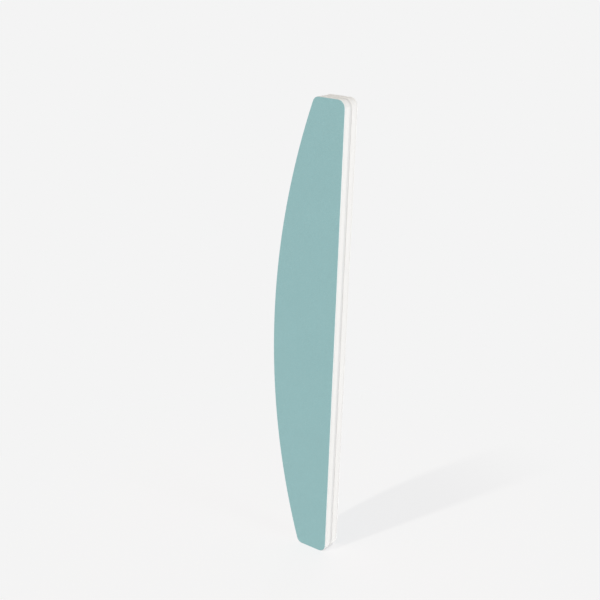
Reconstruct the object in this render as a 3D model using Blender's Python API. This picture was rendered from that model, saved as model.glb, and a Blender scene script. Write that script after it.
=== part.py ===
"""Half-moon nail buffer: two foam pads glued to a stiff core board and faced with abrasive sheets.

It stands on one of its short ends: +Z runs along the length, the front face looks along -Y and the
straight long edge lies at +X. The origin is the middle of the bounding box's base.
"""

import math

import bmesh
import bpy

# Outline, seen from the front
LENGTH = 0.178  # from end to end
WIDTH = 0.028  # from the straight edge to the crown of the curved edge
END_WIDTH = 0.013  # from the straight edge to the corner where the curve meets an end
STRAIGHT_CORNER_RADIUS = 0.003  # between an end and the straight edge
CURVED_CORNER_RADIUS = 0.0025  # between an end and the curved edge

# Thickness of each kind of layer
SHEET_THICKNESS = 0.0004
SHEET_ADHESIVE_THICKNESS = 0.0001
FOAM_THICKNESS = 0.0029
CORE_ADHESIVE_THICKNESS = 0.0001
CORE_THICKNESS = 0.001

# How far an edge stays inside the outline
CORE_INSET = 0.0002
ADHESIVE_INSET = 0.00015

# The foam's edge rounds in towards the core
FOAM_EDGE_RADIUS = 0.0003

# Facets along the curves
CURVED_EDGE_STEPS = 48
CORNER_STEPS = 8
FOAM_EDGE_STEPS = 3

# Edges that turn more than this are drawn sharp
SHARP_ANGLE = math.radians(30)

# Circle of the curved edge, through its crown and the two ends' corners
BULGE_RISE = WIDTH - END_WIDTH
BULGE_RADIUS = ((LENGTH / 2) ** 2 + BULGE_RISE**2) / (2 * BULGE_RISE)
BULGE_CENTRE_X = BULGE_RADIUS - WIDTH / 2

# Colours, roughness and metallic value of each material
MATERIALS = {
    "abrasive": ((0.296, 0.491, 0.497, 1.0), 0.9, 0.0),
    "foam": ((0.91, 0.905, 0.89, 1.0), 0.8, 0.0),
    "core": ((0.76, 0.755, 0.745, 1.0), 0.45, 0.0),
    "adhesive": ((0.82, 0.80, 0.74, 1.0), 0.35, 0.0),
}


def clear_scene():
    for obj in list(bpy.data.objects):
        bpy.data.objects.remove(obj, do_unlink=True)


def make_material(name):
    """A new material for one piece, with the finish that its kind has."""
    colour, roughness, metallic = MATERIALS[name]
    material = bpy.data.materials.new(name)
    material.use_nodes = True
    shader = material.node_tree.nodes["Principled BSDF"]
    shader.inputs["Base Color"].default_value = colour
    shader.inputs["Roughness"].default_value = roughness
    shader.inputs["Metallic"].default_value = metallic
    material.diffuse_color = colour
    return material


def arc(centre, radius, start, end, steps):
    """Points (x, z) of an arc; angles run from +X towards +Z."""
    points = []
    for step in range(steps + 1):
        angle = start + (end - start) * step / steps
        x = centre[0] + radius * math.cos(angle)
        z = centre[1] + radius * math.sin(angle)
        points.append((x, z))
    return points


def outline(inset):
    """The half-moon as points (x, z), anticlockwise from the bottom end, moved inwards by the inset."""
    middle = LENGTH / 2
    straight_reach = middle - STRAIGHT_CORNER_RADIUS
    straight_x = WIDTH / 2 - STRAIGHT_CORNER_RADIUS
    curved_reach = middle - CURVED_CORNER_RADIUS
    to_corner = BULGE_RADIUS - CURVED_CORNER_RADIUS
    half_sweep = math.asin(curved_reach / to_corner)
    curved_x = BULGE_CENTRE_X - to_corner * math.cos(half_sweep)
    straight_radius = STRAIGHT_CORNER_RADIUS - inset
    curved_radius = CURVED_CORNER_RADIUS - inset
    left = math.pi
    down = math.pi * 3 / 2
    up = math.pi / 2

    points = arc((straight_x, middle - straight_reach), straight_radius, -up, 0, CORNER_STEPS)
    points += arc((straight_x, middle + straight_reach), straight_radius, 0, up, CORNER_STEPS)
    points += arc((curved_x, middle + curved_reach), curved_radius, up, left - half_sweep, CORNER_STEPS)
    bulge = arc(
        (BULGE_CENTRE_X, middle),
        BULGE_RADIUS - inset,
        left - half_sweep,
        left + half_sweep,
        CURVED_EDGE_STEPS,
    )
    points += bulge[1:-1]
    points += arc((curved_x, middle - curved_reach), curved_radius, left + half_sweep, down, CORNER_STEPS)
    return points


def make_layer(name, material, front, sections, parent):
    """One closed layer through sections (depth, inset), with its front face at the given place in Y."""
    mesh = bpy.data.meshes.new(name)
    shape = bmesh.new()
    rings = []
    for depth, inset in sections:
        rings.append([shape.verts.new((x, depth, z)) for x, z in outline(inset)])
    shape.faces.new(rings[0])
    shape.faces.new(reversed(rings[-1]))
    for near, far in zip(rings, rings[1:]):
        count = len(near)
        for i in range(count):
            following = (i + 1) % count
            shape.faces.new((near[following], near[i], far[i], far[following]))
    bmesh.ops.recalc_face_normals(shape, faces=shape.faces)
    shape.to_mesh(mesh)
    shape.free()
    mesh.shade_smooth()
    mesh.set_sharp_from_angle(angle=SHARP_ANGLE)
    mesh.materials.append(material)

    layer = bpy.data.objects.new(name, mesh)
    bpy.context.scene.collection.objects.link(layer)
    layer.parent = parent
    layer.location.y = front
    return layer


def flat_sections(thickness, inset):
    return [(0, inset), (thickness, inset)]


def foam_sections():
    """A foam slab whose far edge, the one beside the core, is rounded."""
    sections = [(0, 0)]
    for step in range(FOAM_EDGE_STEPS + 1):
        angle = math.pi / 2 * step / FOAM_EDGE_STEPS
        depth = FOAM_THICKNESS - FOAM_EDGE_RADIUS * (1 - math.sin(angle))
        inset = FOAM_EDGE_RADIUS * (1 - math.cos(angle))
        sections.append((depth, inset))
    return sections


def turned_round(sections):
    """The same sections seen from the other side, for the layers behind the core."""
    thickness = sections[-1][0]
    return [(thickness - depth, inset) for depth, inset in reversed(sections)]


def make_buffer():
    """Stacks the layers from the front face to the rear face."""
    body = bpy.data.objects.new("nail_buffer", None)
    bpy.context.scene.collection.objects.link(body)

    sheet = flat_sections(SHEET_THICKNESS, 0)
    sheet_adhesive = flat_sections(SHEET_ADHESIVE_THICKNESS, ADHESIVE_INSET)
    foam = foam_sections()
    core_adhesive = flat_sections(CORE_ADHESIVE_THICKNESS, FOAM_EDGE_RADIUS)
    core = flat_sections(CORE_THICKNESS, CORE_INSET)
    layers = [
        ("front_abrasive_sheet", "abrasive", sheet),
        ("front_sheet_adhesive", "adhesive", sheet_adhesive),
        ("front_foam_pad", "foam", foam),
        ("front_core_adhesive", "adhesive", core_adhesive),
        ("core_board", "core", core),
        ("rear_core_adhesive", "adhesive", core_adhesive),
        ("rear_foam_pad", "foam", turned_round(foam)),
        ("rear_sheet_adhesive", "adhesive", sheet_adhesive),
        ("rear_abrasive_sheet", "abrasive", sheet),
    ]
    total = sum(sections[-1][0] for name, material, sections in layers)
    front = -total / 2
    for name, material, sections in layers:
        make_layer(name, make_material(material), front, sections, body)
        front += sections[-1][0]


clear_scene()
make_buffer()
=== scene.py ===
import math

import bmesh
import bpy
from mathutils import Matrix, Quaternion, Vector, noise


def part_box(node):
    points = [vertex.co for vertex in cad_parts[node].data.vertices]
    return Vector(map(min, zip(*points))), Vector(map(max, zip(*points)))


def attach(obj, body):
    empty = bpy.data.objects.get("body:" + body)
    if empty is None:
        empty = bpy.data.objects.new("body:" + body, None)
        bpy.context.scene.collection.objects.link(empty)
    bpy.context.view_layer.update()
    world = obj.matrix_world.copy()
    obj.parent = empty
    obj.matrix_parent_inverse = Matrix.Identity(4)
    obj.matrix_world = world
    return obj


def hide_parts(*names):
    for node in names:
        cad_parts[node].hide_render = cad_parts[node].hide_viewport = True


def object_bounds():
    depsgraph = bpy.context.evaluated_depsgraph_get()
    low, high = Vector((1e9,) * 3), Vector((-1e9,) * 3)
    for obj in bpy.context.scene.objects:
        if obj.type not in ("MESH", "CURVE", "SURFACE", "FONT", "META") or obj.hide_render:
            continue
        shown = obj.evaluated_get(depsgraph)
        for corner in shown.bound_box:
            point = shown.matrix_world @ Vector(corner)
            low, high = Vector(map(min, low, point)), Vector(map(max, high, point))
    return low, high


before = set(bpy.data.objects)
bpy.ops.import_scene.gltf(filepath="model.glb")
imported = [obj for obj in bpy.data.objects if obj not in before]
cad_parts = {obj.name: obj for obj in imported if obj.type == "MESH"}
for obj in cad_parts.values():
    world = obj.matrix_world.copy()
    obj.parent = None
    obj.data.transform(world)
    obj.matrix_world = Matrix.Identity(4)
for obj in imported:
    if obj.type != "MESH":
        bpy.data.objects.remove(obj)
cad_low, cad_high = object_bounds()

# Outline of every layer: the overall size comes from the frame
LENGTH = cad_high.z - cad_low.z
WIDTH = cad_high.x - cad_low.x
END_WIDTH = 0.013
STRAIGHT_CORNER_RADIUS = 0.003
CURVED_CORNER_RADIUS = 0.0025
BULGE_RISE = WIDTH - END_WIDTH
BULGE_RADIUS = ((LENGTH / 2) ** 2 + BULGE_RISE**2) / (2 * BULGE_RISE)
BULGE_CENTRE_X = BULGE_RADIUS - WIDTH / 2
ARC_STEPS_LEAST = 4  # however short the arc

# Sides of the middle plane, along Y
FRONT = -1
REAR = 1

# Abrasive sheets
SHEET_COLUMN = 0.0005  # spacing of points along the outline
SHEET_EDGE_RADIUS = 0.00006
SHEET_EDGE_STEPS = 4
SHEET_WALL_STEPS = 3
SHEET_RIM = 0.0006  # width of the strip of face that runs inside the cut edge
SHEET_WAVE = 0.000012  # how far the cut edge wanders
SHEET_WAVE_LENGTH = 0.0022

# Foam pads
FOAM_COLUMN = 0.0003
FOAM_ROW = 0.0002
FOAM_EDGE_RADIUS = 0.0003  # beside the core
FOAM_LIP_RADIUS = 0.00005  # beside the sheet
FOAM_EDGE_STEPS = 3
FOAM_WAIST = 0.00007  # how far the cut side is drawn in at mid-thickness
FOAM_RELIEF = 0.00002
FOAM_RELIEF_LENGTH = 0.0009
PORE_SPACING = 0.0011
PORE_RADIUS = 0.00032
PORE_DEPTH = 0.00008
PORE_SHARE = 0.35  # share of the pores that are open

# Edges that turn more than this are drawn sharp
SHARP_ANGLE = math.radians(30)

# Patterns give values from 0 to 1; a cloud's mostly lie in the middle
WHOLE = (0.0, 1.0)
CLOUD_SPAN = (0.3, 0.7)

# Turquoise grit on off-white paper
TEAL = (0.2935, 0.502, 0.524, 1.0)
# Painted highlight: a lighter teal that a few grains get in their colour, standing in for glints
TEAL_PAINTED_GLINT = (0.50, 0.66, 0.66, 1.0)
PAPER = (0.915, 0.905, 0.89, 1.0)
GRAIN_SIZE = 0.00009
GRAIN_RELIEF = 0.00002
GRAIN_BUMP = 0.6
GRAIN_HEIGHTS = (0.3, 1.0)
GRAIN_TONES = (0.90, 1.10)
GRAIN_SPECULAR = 0.3
PAINTED_GLINT_CHANCES = (0.95, 0.97)  # grains above these get a painted glint, a lighter teal in their colour
PAINTED_GLINT_SHARES = (0.0, 0.6)
SHINY_CHANCES = (0.9, 1.0)
GRAIN_ROUGHNESSES = (0.92, 0.5)
MOTTLE_SIZE = 0.011
MOTTLE_DETAIL = 3.0
MOTTLE_TONES = (0.99, 1.01)
FIBRE_SIZE = 0.00011
FIBRE_DETAIL = 2.0
FIBRE_TONES = (0.95, 1.03)
COAT_DEPTH = 0.000045  # how far the grit's colour reaches down the cut edge
COAT_RAGGED = 0.00002
COAT_RAGGED_SIZE = 0.0002
COAT_RAGGED_DETAIL = 2.0
COAT_BLUR = 0.000005

# White foam, cut through its cells
FOAM_WHITE = (0.861, 0.847, 0.832, 1.0)
# Painted shade: the darker colour given to the floors of the foam's pits
FOAM_PIT_SHADE = (0.725, 0.706, 0.689, 1.0)
CELL_SIZE = 0.00018
SMALL_CELL_SIZE = 0.00009
SMALL_PIT_SHARE = 0.5  # depth of a small pit beside a large one's
PIT_SLOPE = (0.52, 0.2)  # from a pit's rim to its floor, in cells from its middle
PIT_DEPTH_SHARES = (0.05, 1.0)  # some cells are cut near their end and hardly show
CELL_RELIEF = 0.00004
CELL_BUMP = 0.6
FOAM_TONE_SIZE = 0.006
FOAM_TONE_DETAIL = 4.0
FOAM_TONES = (0.99, 1.01)
FOAM_ROUGHNESSES = (0.8, 0.95)
FOAM_SPECULAR = 0.25

# Plastic core board, with streaks along its cut edge
CORE_GREY = (0.735, 0.728, 0.719, 1.0)
CORE_STREAK = (0.69, 0.683, 0.674, 1.0)
STREAK_LENGTH = 0.009
STREAK_WIDTH = 0.00009
STREAK_DETAIL = 2.0
STREAK_SPAN = (0.35, 0.65)
STREAK_BUMP = 0.4
CORE_ROUGHNESSES = (0.38, 0.6)

# Adhesive film
GLUE = (0.86, 0.85, 0.82, 1.0)
GLUE_DARK = (0.78, 0.77, 0.73, 1.0)
GLUE_CLOUD_SIZE = 0.0007
GLUE_CLOUD_DETAIL = 3.0
GLUE_SPAN = (0.35, 0.65)
GLUE_RELIEF = 0.00003
GLUE_BUMP = 0.4
GLUE_ROUGHNESSES = (0.28, 0.5)

# Numbers of the sockets that a mix of two colours uses
MIX_INPUT_FACTOR = 0
MIX_INPUT_FIRST = 6
MIX_INPUT_SECOND = 7
MIX_OUTPUT_COLOUR = 2

# Camera, at the photograph's viewing angle
CAMERA_AZIMUTH = math.radians(36.0)
CAMERA_ELEVATION = math.radians(19.34)
CAMERA_ROLL = math.radians(1.98)
CAMERA_DISTANCE = 0.4321
CAMERA_AIM = Vector((-0.0051, 0.0, 0.09997))
CAMERA_LENS_MM = 68.75
CAMERA_NEAR = 0.004
CAMERA_FAR = 48.0
SENSOR_MM = 36.0

# Floor and backdrop
FLOOR_RADIUS = 12.0
FLOOR_SIDES = 96
FLOOR_COLOUR = (0.9, 0.9, 0.9, 1.0)
BACKDROP_COLOUR = (0.905, 0.905, 0.905, 1.0)
FLOOR_GLOW = (0.981, 0.977, 0.984, 1.0)
GLOW_SHARE = 0.731  # the rest of the floor is matt and takes the shadow
FADE_REACH = (0.055, 0.15)  # where the shadow starts to fade and where it ends, from the base's middle
CONTACT_REACH = 0.004
CONTACT_OPENNESS = (0.15, 0.45)  # painted contact shade: the glow dims where less than this much of the sky is open
CONTACT_SHADE_GLOWS = (0.65, 1.0)

# Light: an even sky, a small key lamp, and broad lamps beside and behind
SKY_COLOUR = (1.0, 0.985, 0.965, 1.0)
SKY_STRENGTH = 0.513
KEY_AZIMUTH = math.radians(-17.5)
KEY_ELEVATION = math.radians(41.0)
KEY_ANGLE = math.radians(2.6)
KEY_STRENGTH = 1.1
KEY_COLOUR = (1.0, 0.97, 0.89)
SIDE_AZIMUTH = math.radians(90.0)
SIDE_ELEVATION = math.radians(5.0)
SIDE_STRENGTH = 1.56
SIDE_COLOUR = (0.94, 0.97, 0.985)
BACK_AZIMUTH = math.radians(200.0)
BACK_ELEVATION = math.radians(2.0)
BACK_STRENGTH = 1.0
BACK_COLOUR = (1.0, 1.0, 1.0)
BROAD_ANGLE = math.radians(20.0)


def link(obj):
    bpy.context.scene.collection.objects.link(obj)
    return obj


def direction(azimuth, elevation):
    """Unit vector from the object towards a place; azimuth runs from -Y towards +X."""
    flat = math.cos(elevation)
    return Vector((math.sin(azimuth) * flat, -math.cos(azimuth) * flat, math.sin(elevation)))


def layer_span(node):
    """How near to the middle plane a layer starts, and how far from it the layer ends."""
    low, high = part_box(node)
    return sorted((abs(low.y), abs(high.y)))


def straight(start, end, normal, spacing):
    """Points and outward normals along a line, without its last point."""
    start = Vector(start)
    end = Vector(end)
    steps = max(1, round((end - start).length / spacing))
    return [(start.lerp(end, step / steps), Vector(normal)) for step in range(steps)]


def arc(centre, radius, inset, start, end, spacing):
    """Points and outward normals along an arc moved inwards by the inset, without its last point."""
    steps = max(ARC_STEPS_LEAST, round(radius * abs(end - start) / spacing))
    points = []
    for step in range(steps):
        angle = start + (end - start) * step / steps
        normal = Vector((math.cos(angle), math.sin(angle)))
        points.append((Vector(centre) + normal * (radius - inset), normal))
    return points


def outline(inset, spacing):
    """The half-moon in X and Z, anticlockwise, as points with their outward normals."""
    middle = LENGTH / 2
    straight_reach = middle - STRAIGHT_CORNER_RADIUS
    straight_x = WIDTH / 2 - STRAIGHT_CORNER_RADIUS
    curved_reach = middle - CURVED_CORNER_RADIUS
    to_corner = BULGE_RADIUS - CURVED_CORNER_RADIUS
    half_sweep = math.asin(curved_reach / to_corner)
    curved_x = BULGE_CENTRE_X - to_corner * math.cos(half_sweep)
    top = LENGTH - inset
    side = WIDTH / 2 - inset
    low = middle - straight_reach
    high = middle + straight_reach
    left = math.pi
    down = math.pi * 3 / 2
    up = math.pi / 2

    radius = STRAIGHT_CORNER_RADIUS
    points = straight((curved_x, inset), (straight_x, inset), (0, -1), spacing)
    points += arc((straight_x, low), radius, inset, -up, 0, spacing)
    points += straight((side, low), (side, high), (1, 0), spacing)
    points += arc((straight_x, high), radius, inset, 0, up, spacing)
    points += straight((straight_x, top), (curved_x, top), (0, 1), spacing)

    radius = CURVED_CORNER_RADIUS
    crown = (BULGE_CENTRE_X, middle)
    low = middle - curved_reach
    high = middle + curved_reach
    points += arc((curved_x, high), radius, inset, up, left - half_sweep, spacing)
    points += arc(crown, BULGE_RADIUS, inset, left - half_sweep, left + half_sweep, spacing)
    points += arc((curved_x, low), radius, inset, left + half_sweep, down, spacing)
    return points


def rounded(edge, outwards, radius, steps):
    """Sections (distance from the middle plane, inset) of an edge that turns from the side to a face.

    The edge is the face's distance. Outwards is 1 where the face looks away from the middle plane, and
    -1 where it looks at it.
    """
    sections = []
    for step in range(1, steps + 1):
        angle = math.pi / 2 * step / steps
        distance = edge - outwards * radius * (1 - math.sin(angle))
        sections.append((distance, radius * (1 - math.cos(angle))))
    return sections


def wall(low, high, steps):
    """Sections of the straight side between two distances from the middle plane."""
    return [(low + (high - low) * step / steps, 0) for step in range(steps + 1)]


def make_piece(name, node, side, sections, spacing, carve, material):
    """A closed layer through the sections, in the place of a CAD node.

    The carve function gives how far a point is moved inwards on top of its section's inset.
    """
    mesh = bpy.data.meshes.new(name)
    shape = bmesh.new()
    rings = []
    for distance, inset in sections:
        ring = []
        for point, normal in outline(inset, spacing):
            place = Vector((point.x, side * distance, point.y))
            outward = Vector((normal.x, 0, normal.y))
            ring.append(shape.verts.new(place - outward * carve(place)))
        rings.append(ring)
    shape.faces.new(rings[0])
    shape.faces.new(reversed(rings[-1]))
    for near, far in zip(rings, rings[1:]):
        for i in range(len(near)):
            shape.faces.new((near[i - 1], near[i], far[i], far[i - 1]))
    bmesh.ops.recalc_face_normals(shape, faces=shape.faces)
    shape.to_mesh(mesh)
    shape.free()
    mesh.shade_smooth()
    mesh.set_sharp_from_angle(angle=SHARP_ANGLE)
    mesh.materials.append(material)
    piece = link(bpy.data.objects.new(name, mesh))
    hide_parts(node)
    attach(piece, "root")
    return piece


def make_sheet(name, node, side, material):
    """Grit-coated sheet: a cut wall that wanders a little, a fine rounded edge and a flat face."""
    low, high = layer_span(node)
    sections = wall(low, high - SHEET_EDGE_RADIUS, SHEET_WALL_STEPS)
    sections += rounded(high, 1, SHEET_EDGE_RADIUS, SHEET_EDGE_STEPS)
    sections.append((high, SHEET_RIM))
    seed = Vector((0, side, 0))

    def carve(place):
        return SHEET_WAVE * (1 + noise.noise(place / SHEET_WAVE_LENGTH + seed))

    make_piece(name, node, side, sections, SHEET_COLUMN, carve, material)


def pore(place):
    """Depth of an open pore at a place on the foam's cut side."""
    distances, centres = noise.voronoi(place / PORE_SPACING)
    chance = (noise.cell(centres[0]) + 1) / 2  # from 0 to 1, the same all over one pore
    reach = distances[0] * PORE_SPACING / PORE_RADIUS
    if chance > PORE_SHARE or reach > 1:
        return 0
    return PORE_DEPTH * (1 - reach**2) ** 2


def make_foam(name, node, side, material):
    """Foam pad whose cut side is slightly drawn in, with a fine relief and some open pores."""
    low, high = layer_span(node)
    wall_low = low + FOAM_EDGE_RADIUS
    wall_high = high - FOAM_LIP_RADIUS
    rows = round((wall_high - wall_low) / FOAM_ROW)
    sections = rounded(low, -1, FOAM_EDGE_RADIUS, FOAM_EDGE_STEPS)[::-1]
    sections += wall(wall_low, wall_high, rows)
    sections += rounded(high, 1, FOAM_LIP_RADIUS, FOAM_EDGE_STEPS)
    seed = Vector((0, side, 0))

    def carve(place):
        share = (abs(place.y) - low) / (high - low)
        belly = math.sin(math.pi * max(0, min(1, share)))
        relief = FOAM_RELIEF * (1 + noise.noise(place / FOAM_RELIEF_LENGTH + seed))
        return (FOAM_WAIST + relief + pore(place)) * belly

    piece = make_piece(name, node, side, sections, FOAM_COLUMN, carve, material)


def new_material(name):
    """A new material, with its node tree and the shader in it."""
    material = bpy.data.materials.new(name)
    material.use_nodes = True
    return material, material.node_tree, material.node_tree.nodes["Principled BSDF"]


def feed(tree, socket, value):
    """Links a socket, or sets a plain value."""
    if isinstance(value, bpy.types.NodeSocket):
        tree.links.new(value, socket)
    else:
        socket.default_value = value


def add(tree, kind, values, **settings):
    """A new node with its inputs fed by name or number."""
    made = tree.nodes.new(kind)
    for name, setting in settings.items():
        setattr(made, name, setting)
    for name, value in values.items():
        feed(tree, made.inputs[name], value)
    return made


def math_node(tree, operation, first, second=0.0):
    """What an operation makes of one value or two."""
    return add(tree, "ShaderNodeMath", {0: first, 1: second}, operation=operation).outputs[0]


def remap(tree, value, span, target, curve="LINEAR"):
    """Carries a value from one span of numbers over to another, and no further than its ends."""
    values = {
        "Value": value,
        "From Min": span[0],
        "From Max": span[1],
        "To Min": target[0],
        "To Max": target[1],
    }
    return add(tree, "ShaderNodeMapRange", values, interpolation_type=curve).outputs["Result"]


def mix_colour(tree, share, first, second):
    """Two colours mixed; the share is the second one's."""
    values = {MIX_INPUT_FACTOR: share, MIX_INPUT_FIRST: first, MIX_INPUT_SECOND: second}
    return add(tree, "ShaderNodeMix", values, data_type="RGBA").outputs[MIX_OUTPUT_COLOUR]


def mix_shader(tree, share, first, second):
    """A node that mixes what two others give out; the share is the second one's."""
    values = {0: share, 1: first.outputs[0], 2: second.outputs[0]}
    return add(tree, "ShaderNodeMixShader", values)


def scaled_colour(tree, colour, brightness):
    values = {"Color": colour, "Value": brightness}
    return add(tree, "ShaderNodeHueSaturation", values).outputs["Color"]


def object_place(tree):
    """Where a point lies on its object, in metres."""
    return add(tree, "ShaderNodeTexCoord", {}).outputs["Object"]


def measured_in(tree, place, size_x, size_y, size_z):
    """The place counted in these sizes, so that the patches of a pattern of size 1 take them."""
    values = {"Vector": place, "Scale": (1 / size_x, 1 / size_y, 1 / size_z)}
    return add(tree, "ShaderNodeMapping", values).outputs["Vector"]


def cloud(tree, place, size, detail):
    """A soft pattern of patches of about that size."""
    values = {"Vector": place, "Scale": 1 / size, "Detail": detail}
    return add(tree, "ShaderNodeTexNoise", values).outputs["Fac"]


def cells(tree, place, size):
    """Irregular cells of about that size.

    Gives how far a point lies from the middle of its cell, counted in cells, and the cell's three
    chances, each from 0 to 1, as Red, Green and Blue.
    """
    pattern = add(tree, "ShaderNodeTexVoronoi", {"Vector": place, "Scale": 1 / size}).outputs
    chance = add(tree, "ShaderNodeSeparateColor", {"Color": pattern["Color"]}).outputs
    return pattern["Distance"], chance


def add_bump(tree, shader, height, distance, strength):
    values = {"Height": height, "Distance": distance, "Strength": strength}
    feed(tree, shader.inputs["Normal"], add(tree, "ShaderNodeBump", values).outputs["Normal"])


def grit_material():
    """Turquoise mineral grit on off-white paper, which shows on the cut edge."""
    material, tree, shader = new_material("turquoise_grit")
    place = object_place(tree)
    from_grain, chance = cells(tree, place, GRAIN_SIZE)
    grain_tone = remap(tree, chance["Red"], WHOLE, GRAIN_TONES)
    mottle = remap(tree, cloud(tree, place, MOTTLE_SIZE, MOTTLE_DETAIL), CLOUD_SPAN, MOTTLE_TONES)
    teal = scaled_colour(tree, TEAL, math_node(tree, "MULTIPLY", grain_tone, mottle))
    # Painted highlight: a few grains get a lighter teal in their colour, as if they glinted
    painted_glint = remap(tree, chance["Green"], PAINTED_GLINT_CHANCES, PAINTED_GLINT_SHARES)
    teal = mix_colour(tree, painted_glint, teal, TEAL_PAINTED_GLINT)

    fibres = remap(tree, cloud(tree, place, FIBRE_SIZE, FIBRE_DETAIL), CLOUD_SPAN, FIBRE_TONES)
    paper = scaled_colour(tree, PAPER, fibres)

    along = add(tree, "ShaderNodeSeparateXYZ", {"Vector": place}).outputs
    from_middle = math_node(tree, "ABSOLUTE", along["Y"])
    outer_face = layer_span("front_abrasive_sheet")[1]
    ragged = cloud(tree, place, COAT_RAGGED_SIZE, COAT_RAGGED_DETAIL)
    ragged = remap(tree, ragged, CLOUD_SPAN, (-COAT_RAGGED, COAT_RAGGED))
    coat_start = math_node(tree, "ADD", ragged, outer_face - COAT_DEPTH)
    above = math_node(tree, "SUBTRACT", from_middle, coat_start)
    coat = remap(tree, above, (0.0, COAT_BLUR), WHOLE)
    feed(tree, shader.inputs["Base Color"], mix_colour(tree, coat, paper, teal))
    roughness = remap(tree, chance["Blue"], SHINY_CHANCES, GRAIN_ROUGHNESSES)
    feed(tree, shader.inputs["Roughness"], roughness)
    shader.inputs["Specular IOR Level"].default_value = GRAIN_SPECULAR
    tallness = remap(tree, chance["Red"], WHOLE, GRAIN_HEIGHTS)
    height = math_node(tree, "SUBTRACT", tallness, from_grain)
    add_bump(tree, shader, height, GRAIN_RELIEF, GRAIN_BUMP)
    return material


def pits(tree, place, size):
    """Depth of the cut cells of that size, from 0 between them to 1 on the deepest one's floor."""
    from_pit, chance = cells(tree, place, size)
    deepest = remap(tree, chance["Red"], WHOLE, PIT_DEPTH_SHARES)
    return math_node(tree, "MULTIPLY", deepest, remap(tree, from_pit, PIT_SLOPE, WHOLE, "SMOOTHSTEP"))


def foam_material():
    """Fine closed-cell foam, cut through: pale walls round pits of two sizes and unlike depth, with
    painted shade darkening the pits.
    """
    material, tree, shader = new_material("white_foam")
    place = object_place(tree)
    small = math_node(tree, "MULTIPLY", pits(tree, place, SMALL_CELL_SIZE), SMALL_PIT_SHARE)
    depth = math_node(tree, "MAXIMUM", pits(tree, place, CELL_SIZE), small)
    # Painted shade: the deeper a pit, the darker its colour
    colour = mix_colour(tree, depth, FOAM_WHITE, FOAM_PIT_SHADE)
    tone = remap(tree, cloud(tree, place, FOAM_TONE_SIZE, FOAM_TONE_DETAIL), CLOUD_SPAN, FOAM_TONES)
    feed(tree, shader.inputs["Base Color"], scaled_colour(tree, colour, tone))
    feed(tree, shader.inputs["Roughness"], remap(tree, depth, WHOLE, FOAM_ROUGHNESSES))
    shader.inputs["Specular IOR Level"].default_value = FOAM_SPECULAR
    height = math_node(tree, "SUBTRACT", 1.0, depth)
    add_bump(tree, shader, height, CELL_RELIEF, CELL_BUMP)
    return material


def core_material():
    """Stiff plastic board, with fine streaks that the cutting die left along its edge."""
    material, tree, shader = new_material("core_plastic")
    place = measured_in(tree, object_place(tree), STREAK_LENGTH, STREAK_WIDTH, STREAK_LENGTH)
    streaks = cloud(tree, place, 1.0, STREAK_DETAIL)
    share = remap(tree, streaks, STREAK_SPAN, WHOLE)
    feed(tree, shader.inputs["Base Color"], mix_colour(tree, share, CORE_GREY, CORE_STREAK))
    feed(tree, shader.inputs["Roughness"], remap(tree, streaks, CLOUD_SPAN, CORE_ROUGHNESSES))
    add_bump(tree, shader, streaks, STREAK_WIDTH, STREAK_BUMP)
    return material


def glue_material():
    """Dried adhesive film, cloudy and a little glossy."""
    material, tree, shader = new_material("adhesive_film")
    clouds = cloud(tree, object_place(tree), GLUE_CLOUD_SIZE, GLUE_CLOUD_DETAIL)
    share = remap(tree, clouds, GLUE_SPAN, WHOLE)
    feed(tree, shader.inputs["Base Color"], mix_colour(tree, share, GLUE, GLUE_DARK))
    feed(tree, shader.inputs["Roughness"], remap(tree, clouds, CLOUD_SPAN, GLUE_ROUGHNESSES))
    add_bump(tree, shader, clouds, GLUE_RELIEF, GLUE_BUMP)
    return material


def dress(names, material):
    """Gives CAD nodes their finish."""
    for name in names:
        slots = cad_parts[name].data.materials
        slots.clear()
        slots.append(material)


def make_camera():
    data = bpy.data.cameras.new("camera")
    data.sensor_width = SENSOR_MM
    data.lens = CAMERA_LENS_MM
    data.clip_start = CAMERA_NEAR
    data.clip_end = CAMERA_FAR
    camera = link(bpy.data.objects.new("camera", data))
    back = direction(CAMERA_AZIMUTH, CAMERA_ELEVATION)
    camera.location = CAMERA_AIM + back * CAMERA_DISTANCE
    camera.rotation_mode = "QUATERNION"
    level = (-back).to_track_quat("-Z", "Y")
    camera.rotation_quaternion = level @ Quaternion((0.0, 0.0, 1.0), CAMERA_ROLL)
    bpy.context.scene.camera = camera


def make_world():
    """An even sky that lights the object; the camera sees it as a backdrop of the floor's own tone."""
    world = bpy.data.worlds.new("studio")
    bpy.context.scene.world = world
    world.use_nodes = True
    tree = world.node_tree
    tree.nodes.clear()
    light = add(tree, "ShaderNodeBackground", {"Color": SKY_COLOUR, "Strength": SKY_STRENGTH})
    seen = add(tree, "ShaderNodeBackground", {"Color": BACKDROP_COLOUR})
    by_camera = add(tree, "ShaderNodeLightPath", {}).outputs["Is Camera Ray"]
    surface = mix_shader(tree, by_camera, light, seen)
    add(tree, "ShaderNodeOutputWorld", {"Surface": surface.outputs[0]})


def make_sun(name, towards, angle, strength, colour):
    """A distant lamp whose light comes from that direction."""
    data = bpy.data.lights.new(name, "SUN")
    data.angle = angle
    data.energy = strength
    data.color = colour
    sun = link(bpy.data.objects.new(name, data))
    sun.rotation_mode = "QUATERNION"
    sun.rotation_quaternion = (-towards).to_track_quat("-Z", "Y")


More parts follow.
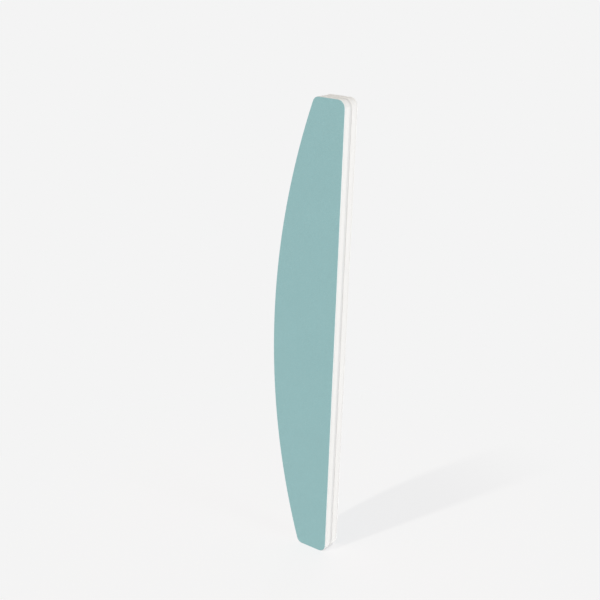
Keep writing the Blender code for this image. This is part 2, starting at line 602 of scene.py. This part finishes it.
def make_lights():
    make_sun("key", direction(KEY_AZIMUTH, KEY_ELEVATION), KEY_ANGLE, KEY_STRENGTH, KEY_COLOUR)
    make_sun("side", direction(SIDE_AZIMUTH, SIDE_ELEVATION), BROAD_ANGLE, SIDE_STRENGTH, SIDE_COLOUR)
    make_sun("back", direction(BACK_AZIMUTH, BACK_ELEVATION), BROAD_ANGLE, BACK_STRENGTH, BACK_COLOUR)


def make_floor():
    """A pale floor that takes the shadow near the object, with painted shade where the object meets
    it, and fades into the backdrop further off.
    """
    bpy.ops.mesh.primitive_circle_add(vertices=FLOOR_SIDES, radius=FLOOR_RADIUS, fill_type="NGON")
    floor = bpy.context.object
    floor.name = "floor"
    material = bpy.data.materials.new("floor")
    material.use_nodes = True
    tree = material.node_tree
    tree.nodes.clear()
    matt = add(tree, "ShaderNodeBsdfDiffuse", {"Color": FLOOR_COLOUR})
    openness = add(tree, "ShaderNodeAmbientOcclusion", {"Distance": CONTACT_REACH}).outputs["AO"]
    # Painted shade: the floor's glow dims in the nook where the object meets it
    contact_shade = remap(tree, openness, CONTACT_OPENNESS, CONTACT_SHADE_GLOWS)
    glow = add(tree, "ShaderNodeEmission", {"Color": FLOOR_GLOW, "Strength": contact_shade})
    backdrop = add(tree, "ShaderNodeEmission", {"Color": BACKDROP_COLOUR})
    near = mix_shader(tree, GLOW_SHARE, matt, glow)
    values = {"Vector": object_place(tree)}
    from_base = add(tree, "ShaderNodeVectorMath", values, operation="LENGTH")
    fade = remap(tree, from_base.outputs["Value"], FADE_REACH, WHOLE, "SMOOTHSTEP")
    by_camera = add(tree, "ShaderNodeLightPath", {}).outputs["Is Camera Ray"]
    surface = mix_shader(tree, math_node(tree, "MULTIPLY", fade, by_camera), near, backdrop)
    add(tree, "ShaderNodeOutputMaterial", {"Surface": surface.outputs[0]})
    floor.data.materials.append(material)


make_camera()
make_world()
make_lights()
make_floor()

grit = grit_material()
foam = foam_material()
make_sheet("front_grit_sheet", "front_abrasive_sheet", FRONT, grit)
make_sheet("rear_grit_sheet", "rear_abrasive_sheet", REAR, grit)
make_foam("front_foam_layer", "front_foam_pad", FRONT, foam)
make_foam("rear_foam_layer", "rear_foam_pad", REAR, foam)
dress(["core_board"], core_material())
dress([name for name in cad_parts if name.endswith("_adhesive")], glue_material())
bpy.context.scene.view_settings.view_transform = "Standard"
